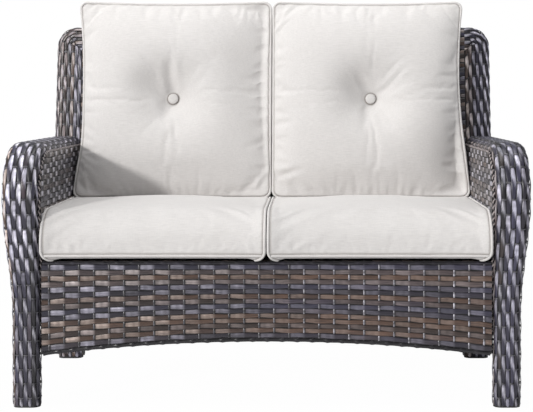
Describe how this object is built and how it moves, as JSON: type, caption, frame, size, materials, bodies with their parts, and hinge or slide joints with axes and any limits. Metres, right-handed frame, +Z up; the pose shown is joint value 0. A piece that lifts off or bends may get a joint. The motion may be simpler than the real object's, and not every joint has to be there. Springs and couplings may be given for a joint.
{
  "type": "patio loveseat",
  "caption": "Woven resin patio loveseat with bowed arms, arched skirt, piped waterfall seat cushions and button-tufted back cushions.",
  "frame": {"origin": "on the ground, under the middle of the box that holds the whole seat", "axes": "+X to the right as seen from the front, +Y to the back, +Z up; the front faces -Y"},
  "size_m": [1.298, 0.7136, 1.0401],
  "materials": {
    "wicker": "semi-gloss resin strips in mixed brown, charcoal and blue-grey, finely grooved along their length",
    "frame_tube": "powder-coated dark brown",
    "steel": "plain, zinc plated",
    "glide": "matt black moulding",
    "fabric": "woven outdoor cloth, oatmeal with a slub along the width",
    "foam": "plain white foam and thread",
    "zip": "moulded coil on cloth tape, fabric coloured"
  },
  "bodies": {
    "frame": {"back_frame": "frame_tube", "back_front_panel": "wicker", "back_rear_panel": "wicker", "frame_bolts": "steel", "frame_nuts": "steel", "frame_washers": "steel", "front_apron": "wicker", "front_left_glide": "glide", "front_right_glide": "glide", "left_arm_frame": "frame_tube", "left_arm_wrap": "wicker", "left_edging": "wicker", "left_inner_panel": "wicker", "left_outer_panel": "wicker", "left_post_wrap": "wicker", "rear_apron": "wicker", "rear_left_glide": "glide", "rear_right_glide": "glide", "right_arm_frame": "frame_tube", "right_arm_wrap": "wicker", "right_edging": "wicker", "right_inner_panel": "wicker", "right_outer_panel": "wicker", "right_post_wrap": "wicker", "seat_deck": "wicker", "seat_frame": "frame_tube", "top_rail_wrap": "wicker"},
    "left_seat_cushion": {"left_seat_cover": "fabric", "left_seat_core": "foam", "left_seat_piping": "fabric", "left_seat_zip": "zip"},
    "left_seat_zip_slider": {"left_seat_zip_slider": "steel"},
    "left_back_cushion": {"left_back_cover": "fabric", "left_back_core": "foam", "left_back_piping": "fabric", "left_back_zip": "zip", "left_back_button": "fabric", "left_back_rear_button": "fabric", "left_back_tufting_cord": "foam"},
    "left_back_zip_slider": {"left_back_zip_slider": "steel"},
    "right_seat_cushion": {"right_seat_cover": "fabric", "right_seat_core": "foam", "right_seat_piping": "fabric", "right_seat_zip": "zip"},
    "right_seat_zip_slider": {"right_seat_zip_slider": "steel"},
    "right_back_cushion": {"right_back_cover": "fabric", "right_back_core": "foam", "right_back_piping": "fabric", "right_back_zip": "zip", "right_back_button": "fabric", "right_back_rear_button": "fabric", "right_back_tufting_cord": "foam"},
    "right_back_zip_slider": {"right_back_zip_slider": "steel"}
  },
  "joints": [
    {"name": "left_seat_lift", "type": "slide", "parent": "frame", "child": "left_seat_cushion", "axis": [0, 0, 1], "range_m": [0, 0.3]},
    {"name": "left_seat_zip_run", "type": "slide", "parent": "left_seat_cushion", "child": "left_seat_zip_slider", "axis": [1, 0, 0], "range_m": [0, 0.392]},
    {"name": "left_back_lift", "type": "slide", "parent": "left_seat_cushion", "child": "left_back_cushion", "axis": [0, 0.1736, 0.9848], "range_m": [0, 0.3]},
    {"name": "left_back_zip_run", "type": "slide", "parent": "left_back_cushion", "child": "left_back_zip_slider", "axis": [1, 0, 0], "range_m": [0, 0.392]},
    {"name": "right_seat_lift", "type": "slide", "parent": "frame", "child": "right_seat_cushion", "axis": [0, 0, 1], "range_m": [0, 0.3]},
    {"name": "right_seat_zip_run", "type": "slide", "parent": "right_seat_cushion", "child": "right_seat_zip_slider", "axis": [-1, 0, 0], "range_m": [0, 0.392]},
    {"name": "right_back_lift", "type": "slide", "parent": "right_seat_cushion", "child": "right_back_cushion", "axis": [0, 0.1736, 0.9848], "range_m": [0, 0.3]},
    {"name": "right_back_zip_run", "type": "slide", "parent": "right_back_cushion", "child": "right_back_zip_slider", "axis": [-1, 0, 0], "range_m": [0, 0.392]}
  ]
}
